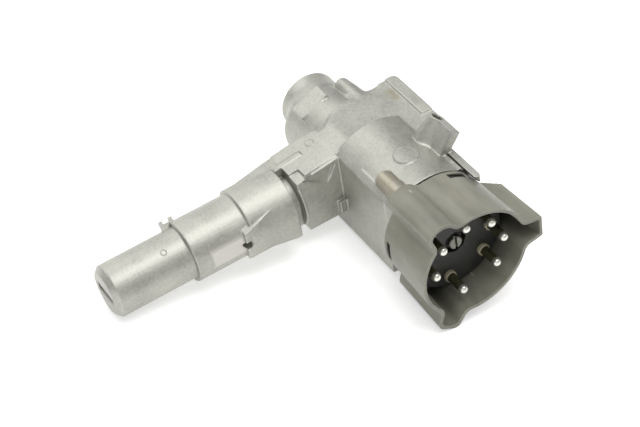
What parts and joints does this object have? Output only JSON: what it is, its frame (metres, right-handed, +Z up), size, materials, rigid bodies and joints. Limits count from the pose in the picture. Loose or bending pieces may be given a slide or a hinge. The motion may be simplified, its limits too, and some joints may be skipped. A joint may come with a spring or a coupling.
{
  "type": "steering lock",
  "caption": "Steering column lock with key barrel, sliding lock bolt in a long arm, screw ear and a lobed plug socket with contact pins at the end of its ignition switch.",
  "frame": {"origin": "where the axis of the key barrel crosses the axis of the arm", "axes": "+X along the barrel towards the plug socket, -Y along the arm towards the bolt's nose, +Z up to the deck with the screw ear"},
  "size_m": [0.1313, 0.1636, 0.0621],
  "materials": {
    "casting": "as cast, satin",
    "zinc": "machined",
    "steel": "ground, lightly oiled",
    "spring_steel": "drawn wire",
    "brass": "stamped",
    "plastic": "moulded, warm dark grey",
    "pin_metal": "plated, domed tips",
    "seal": "pale olive"
  },
  "bodies": {
    "frame": {"housing": "casting", "lock_sleeve": "zinc", "sleeve_pin": "steel", "bearing_plate": "zinc", "spring_seat": "zinc", "seat_ring": "steel", "rear_cap": "zinc", "bolt_spring": "spring_steel", "catch_spring": "spring_steel", "return_spring": "spring_steel", "contact_plate": "plastic", "connector_shroud": "plastic", "pin_1": "pin_metal", "pin_2": "pin_metal", "pin_3": "pin_metal", "pin_4": "pin_metal", "pin_5": "pin_metal", "pin_6": "pin_metal", "pin_7": "pin_metal", "pin_collar_1": "seal", "pin_collar_2": "seal", "pin_collar_3": "seal", "pin_collar_4": "seal", "pin_collar_5": "seal", "pin_collar_6": "seal", "pin_collar_7": "seal"},
    "key_drive": {"lock_plug": "steel", "plug_clip": "steel", "driver_shaft": "steel", "rotor": "plastic", "shaft_screw": "steel", "shaft_washer": "steel", "bridge_1": "brass", "bridge_2": "brass", "bridge_3": "brass", "bridge_spring_1": "spring_steel", "bridge_spring_2": "spring_steel", "bridge_spring_3": "spring_steel", "wafer_spring_1": "spring_steel", "wafer_spring_2": "spring_steel", "wafer_spring_3": "spring_steel", "wafer_spring_4": "spring_steel", "wafer_spring_5": "spring_steel"},
    "bolt_train": {"slider": "steel", "bolt_rod": "steel", "rod_pin": "steel", "bolt": "steel"},
    "catch": {"locating_catch": "steel"},
    "wafer_body_1": {"wafer_1": "brass"},
    "wafer_body_2": {"wafer_2": "brass"},
    "wafer_body_3": {"wafer_3": "brass"},
    "wafer_body_4": {"wafer_4": "brass"},
    "wafer_body_5": {"wafer_5": "brass"}
  },
  "joints": [
    {"name": "key_turn", "type": "hinge", "parent": "frame", "child": "key_drive", "pos_m": [0, 0, 0], "axis": [1, 0, 0], "range_deg": [-90, 35]},
    {"name": "bolt_slide", "type": "slide", "parent": "frame", "child": "bolt_train", "axis": [0, -1, 0], "range_m": [-0.0031, 0.008], "deforming": ["bolt_spring"]},
    {"name": "catch_press", "type": "slide", "parent": "frame", "child": "catch", "axis": [0.7337, 0, -0.6794], "range_m": [0, 0.0018], "stiffness_N_per_m": 300, "springref_m": -0.002, "deforming": ["catch_spring"]},
    {"name": "wafer_slide_1", "type": "slide", "parent": "key_drive", "child": "wafer_body_1", "axis": [0, 0, -1], "range_m": [0, 0.0008], "stiffness_N_per_m": 60, "deforming": ["wafer_spring_1"]},
    {"name": "wafer_slide_2", "type": "slide", "parent": "key_drive", "child": "wafer_body_2", "axis": [0, 0, -1], "range_m": [0, 0.0008], "stiffness_N_per_m": 60, "deforming": ["wafer_spring_2"]},
    {"name": "wafer_slide_3", "type": "slide", "parent": "key_drive", "child": "wafer_body_3", "axis": [0, 0, -1], "range_m": [0, 0.0008], "stiffness_N_per_m": 60, "deforming": ["wafer_spring_3"]},
    {"name": "wafer_slide_4", "type": "slide", "parent": "key_drive", "child": "wafer_body_4", "axis": [0, 0, -1], "range_m": [0, 0.0008], "stiffness_N_per_m": 60, "deforming": ["wafer_spring_4"]},
    {"name": "wafer_slide_5", "type": "slide", "parent": "key_drive", "child": "wafer_body_5", "axis": [0, 0, -1], "range_m": [0, 0.0008], "stiffness_N_per_m": 60, "deforming": ["wafer_spring_5"]}
  ],
  "couplings": [
    {"joint": "key_turn", "follows": "bolt_slide", "rad_per_m": -196.35}
  ]
}
